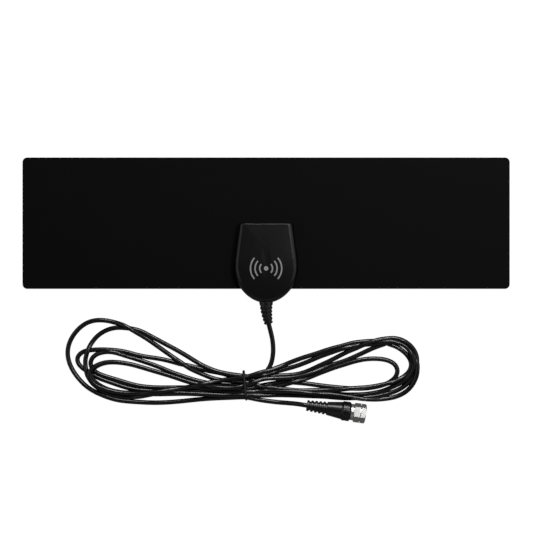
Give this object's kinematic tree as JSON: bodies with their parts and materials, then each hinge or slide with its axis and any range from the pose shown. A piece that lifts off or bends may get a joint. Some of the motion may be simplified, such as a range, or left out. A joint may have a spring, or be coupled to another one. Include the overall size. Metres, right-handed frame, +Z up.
{
  "type": "flat indoor television antenna",
  "caption": "Flat black indoor television antenna: a thin laminated panel with a clamped housing, a thin tied coaxial cable and a moulded screw-on plug.",
  "frame": {"origin": "under the middle of the panel and housing together, on the surface that the rear face lies on", "axes": "+X along the panel, +Y away from the cable, +Z up out of the front face"},
  "size_m": [0.33, 0.1798, 0.0144],
  "materials": {
    "film": "matte",
    "glue": "matte",
    "foil": "satin",
    "housing": "satin",
    "steel": "satin",
    "board": "satin",
    "brass": "satin",
    "ferrite": "matte",
    "copper": "satin",
    "ceramic": "matte",
    "solder": "satin",
    "cable": "satin",
    "boot": "satin",
    "insulator": "satin",
    "nickel": "bright"
  },
  "bodies": {
    "antenna": {"panel_front_film": "film", "panel_glue": "glue", "foil_left": "foil", "foil_right": "foil", "panel_rear_film": "film", "housing_front": "housing", "housing_rear": "housing", "housing_screws": "steel", "circuit_board": "board", "feed_spacers": "steel", "feed_rivets": "brass", "balun_core": "ferrite", "balun_winding": "copper", "chip_parts": "ceramic", "solder_joints": "solder", "cable_jacket_end": "cable", "cable_braid_end": "solder", "cable_core_end": "insulator", "cable_wire_end": "copper", "strain_relief": "boot", "cable_lead": "cable", "cable_hank": "cable", "cable_tail": "cable", "cable_tie": "cable", "plug_boot": "boot", "plug_post": "nickel", "plug_insulator": "insulator", "plug_pin": "copper"},
    "coupling_nut": {"plug_nut": "nickel"}
  },
  "joints": [
    {"name": "nut_turn", "type": "hinge", "parent": "antenna", "child": "coupling_nut", "pos_m": [0.0275, -0.1185, 0.0066], "axis": [0.9895, -0.1444, 0], "continuous": true}
  ]
}
